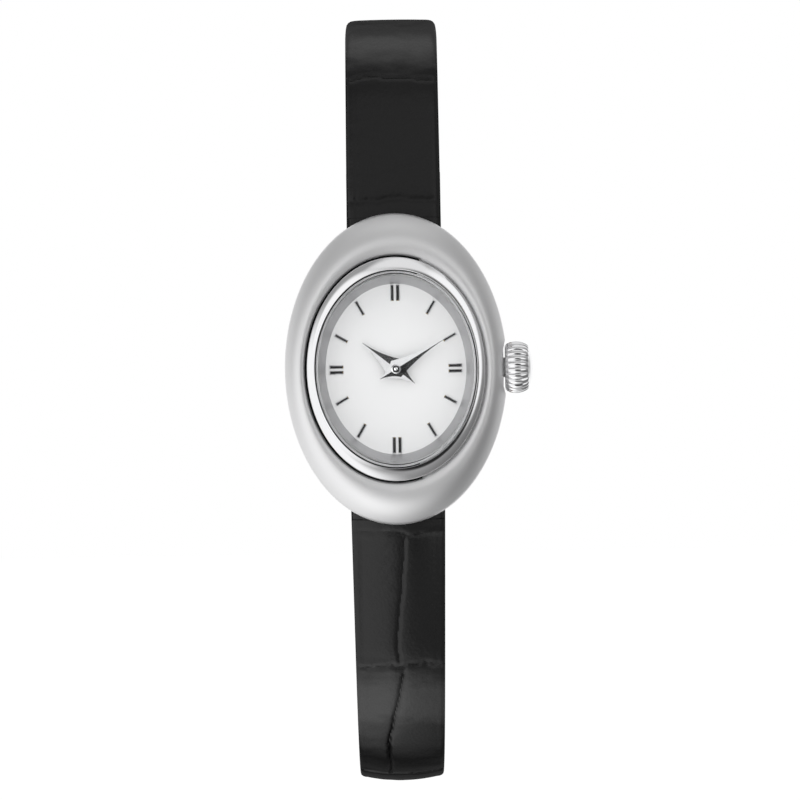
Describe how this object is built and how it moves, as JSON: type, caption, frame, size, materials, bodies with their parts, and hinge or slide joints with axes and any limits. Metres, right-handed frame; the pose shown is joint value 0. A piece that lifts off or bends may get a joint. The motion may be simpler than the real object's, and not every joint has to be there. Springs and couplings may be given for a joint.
{
  "type": "oval watch",
  "caption": "Slim wristwatch with a puffed oval case, polished bezel ring, white dial, two leaf hands, fluted crown and an open leather strap with a pin buckle.",
  "frame": {"origin": "centre of the case back's flat outer face", "axes": "+Y out of the case back into the wrist, +Z towards twelve o'clock along the strap, +X towards the crown at three o'clock"},
  "size_m": [0.0262, 0.0707, 0.081],
  "materials": {
    "satin_steel": "satin brushed, softly rounded",
    "polished_steel": "mirror polished",
    "crystal": "clear, flat, bevelled edge",
    "dial_white": "white lacquer, satin",
    "ring_grey": "satin silver",
    "applied_metal": "polished facets",
    "black_leather": "crocodile embossed, semi matt",
    "lining_leather": "smooth matt",
    "brass": "machined",
    "plate_metal": "nickel plated",
    "soft_iron": "plain",
    "magnet": "plain",
    "copper_wire": "enamelled wire",
    "white_plastic": "moulded",
    "green_board": "lacquered board",
    "black_plastic": "moulded",
    "rubber_black": "matt"
  },
  "bodies": {
    "case": {"case_body": "satin_steel", "bezel_ring": "polished_steel", "crystal": "crystal", "dial_ring": "ring_grey", "dial": "dial_white", "hour_markers": "applied_metal", "case_back": "satin_steel", "main_plate": "plate_metal", "train_bridge": "plate_metal", "movement_screws": "polished_steel", "movement_holder": "white_plastic", "stator": "soft_iron", "coil_core": "soft_iron", "coil_winding": "copper_wire", "circuit_board": "green_board", "circuit_chip": "black_plastic", "quartz_can": "polished_steel", "cell": "polished_steel", "cell_clip": "plate_metal", "crown_tube": "satin_steel", "spring_bar_upper": "plate_metal", "spring_bar_lower": "plate_metal"},
    "minute_work": {"cannon_pinion": "polished_steel", "centre_wheel": "brass", "minute_hand": "applied_metal"},
    "hour_work": {"hour_wheel": "brass", "hour_hand": "applied_metal"},
    "minute_wheel": {"minute_wheel": "brass"},
    "setting_wheel": {"setting_wheel": "plate_metal"},
    "intermediate_wheel": {"intermediate_wheel": "brass"},
    "rotor": {"rotor": "magnet"},
    "crown_seal": {"crown_gasket": "rubber_black"},
    "crown": {"crown": "polished_steel", "stem": "plate_metal"},
    "sliding_pinion": {"sliding_pinion": "plate_metal"},
    "setting_lever": {"setting_lever": "plate_metal"},
    "yoke": {"yoke": "plate_metal"},
    "strap_upper": {"strap_upper_leather": "black_leather", "strap_upper_lining": "lining_leather", "fixed_keeper": "black_leather"},
    "free_keeper": {"free_keeper": "black_leather"},
    "buckle": {"buckle_frame": "polished_steel", "buckle_bar": "plate_metal"},
    "buckle_tongue": {"buckle_tongue": "polished_steel"},
    "strap_lower": {"strap_lower_leather": "black_leather", "strap_lower_lining": "lining_leather"}
  },
  "joints": [
    {"name": "minute_turn", "type": "hinge", "parent": "case", "child": "minute_work", "pos_m": [0, 0, 0], "axis": [0, 1, 0], "continuous": true},
    {"name": "hour_turn", "type": "hinge", "parent": "case", "child": "hour_work", "pos_m": [0, 0, 0], "axis": [0, 1, 0], "continuous": true},
    {"name": "minute_wheel_turn", "type": "hinge", "parent": "case", "child": "minute_wheel", "pos_m": [0.0012, 0, 0.0016], "axis": [0, 1, 0], "continuous": true},
    {"name": "setting_wheel_turn", "type": "hinge", "parent": "case", "child": "setting_wheel", "pos_m": [0.00295, 0, 0], "axis": [0, 1, 0], "continuous": true},
    {"name": "intermediate_turn", "type": "hinge", "parent": "case", "child": "intermediate_wheel", "pos_m": [0.00038, 0, -0.00143], "axis": [0, 1, 0], "continuous": true},
    {"name": "rotor_turn", "type": "hinge", "parent": "case", "child": "rotor", "pos_m": [-0.00067, 0, -0.00203], "axis": [0, 1, 0], "continuous": true},
    {"name": "crown_pull", "type": "slide", "parent": "case", "child": "crown_seal", "axis": [1, 0, 0], "range_m": [0, 0.0005]},
    {"name": "crown_turn", "type": "hinge", "parent": "crown_seal", "child": "crown", "pos_m": [0.0115, -0.003, 0], "axis": [1, 0, 0], "continuous": true},
    {"name": "sliding_pinion_shift", "type": "slide", "parent": "crown", "child": "sliding_pinion", "axis": [1, 0, 0], "range_m": [-0.001, 0]},
    {"name": "setting_lever_swing", "type": "hinge", "parent": "case", "child": "setting_lever", "pos_m": [0.00603, -0.00376, -0.0023], "axis": [0, 1, 0], "range_deg": [0, 12.48]},
    {"name": "yoke_swing", "type": "hinge", "parent": "case", "child": "yoke", "pos_m": [0.00437, -0.00376, 0.0025], "axis": [0, 1, 0], "range_deg": [0, 15.76]},
    {"name": "strap_upper_swing", "type": "hinge", "parent": "case", "child": "strap_upper", "pos_m": [0, -0.002, 0.0133], "axis": [1, 0, 0], "range_deg": [-20, 8]},
    {"name": "strap_lower_swing", "type": "hinge", "parent": "case", "child": "strap_lower", "pos_m": [0, -0.002, -0.0133], "axis": [1, 0, 0], "range_deg": [-8, 20]},
    {"name": "free_keeper_slide", "type": "slide", "parent": "strap_upper", "child": "free_keeper", "axis": [0, 0.5807, -0.8141], "range_m": [-0.004, 0.001]},
    {"name": "buckle_swing", "type": "hinge", "parent": "strap_upper", "child": "buckle", "pos_m": [0, 0.0441, 0.00918], "axis": [1, 0, 0], "range_deg": [-70, 35]},
    {"name": "tongue_swing", "type": "hinge", "parent": "buckle", "child": "buckle_tongue", "pos_m": [0, 0.0441, 0.00918], "axis": [1, 0, 0], "range_deg": [0, 75]}
  ],
  "couplings": [
    {"joint": "hour_turn", "follows": "minute_turn", "ratio": 0.083333},
    {"joint": "minute_wheel_turn", "follows": "minute_turn", "ratio": -0.33333},
    {"joint": "setting_wheel_turn", "follows": "minute_turn", "ratio": 0.57143},
    {"joint": "intermediate_turn", "follows": "minute_turn", "ratio": -5},
    {"joint": "rotor_turn", "follows": "minute_turn", "ratio": 30},
    {"joint": "sliding_pinion_shift", "follows": "crown_pull", "ratio": -2},
    {"joint": "setting_lever_swing", "follows": "crown_pull", "rad_per_m": 434.78},
    {"joint": "yoke_swing", "follows": "crown_pull", "rad_per_m": 549.45}
  ]
}
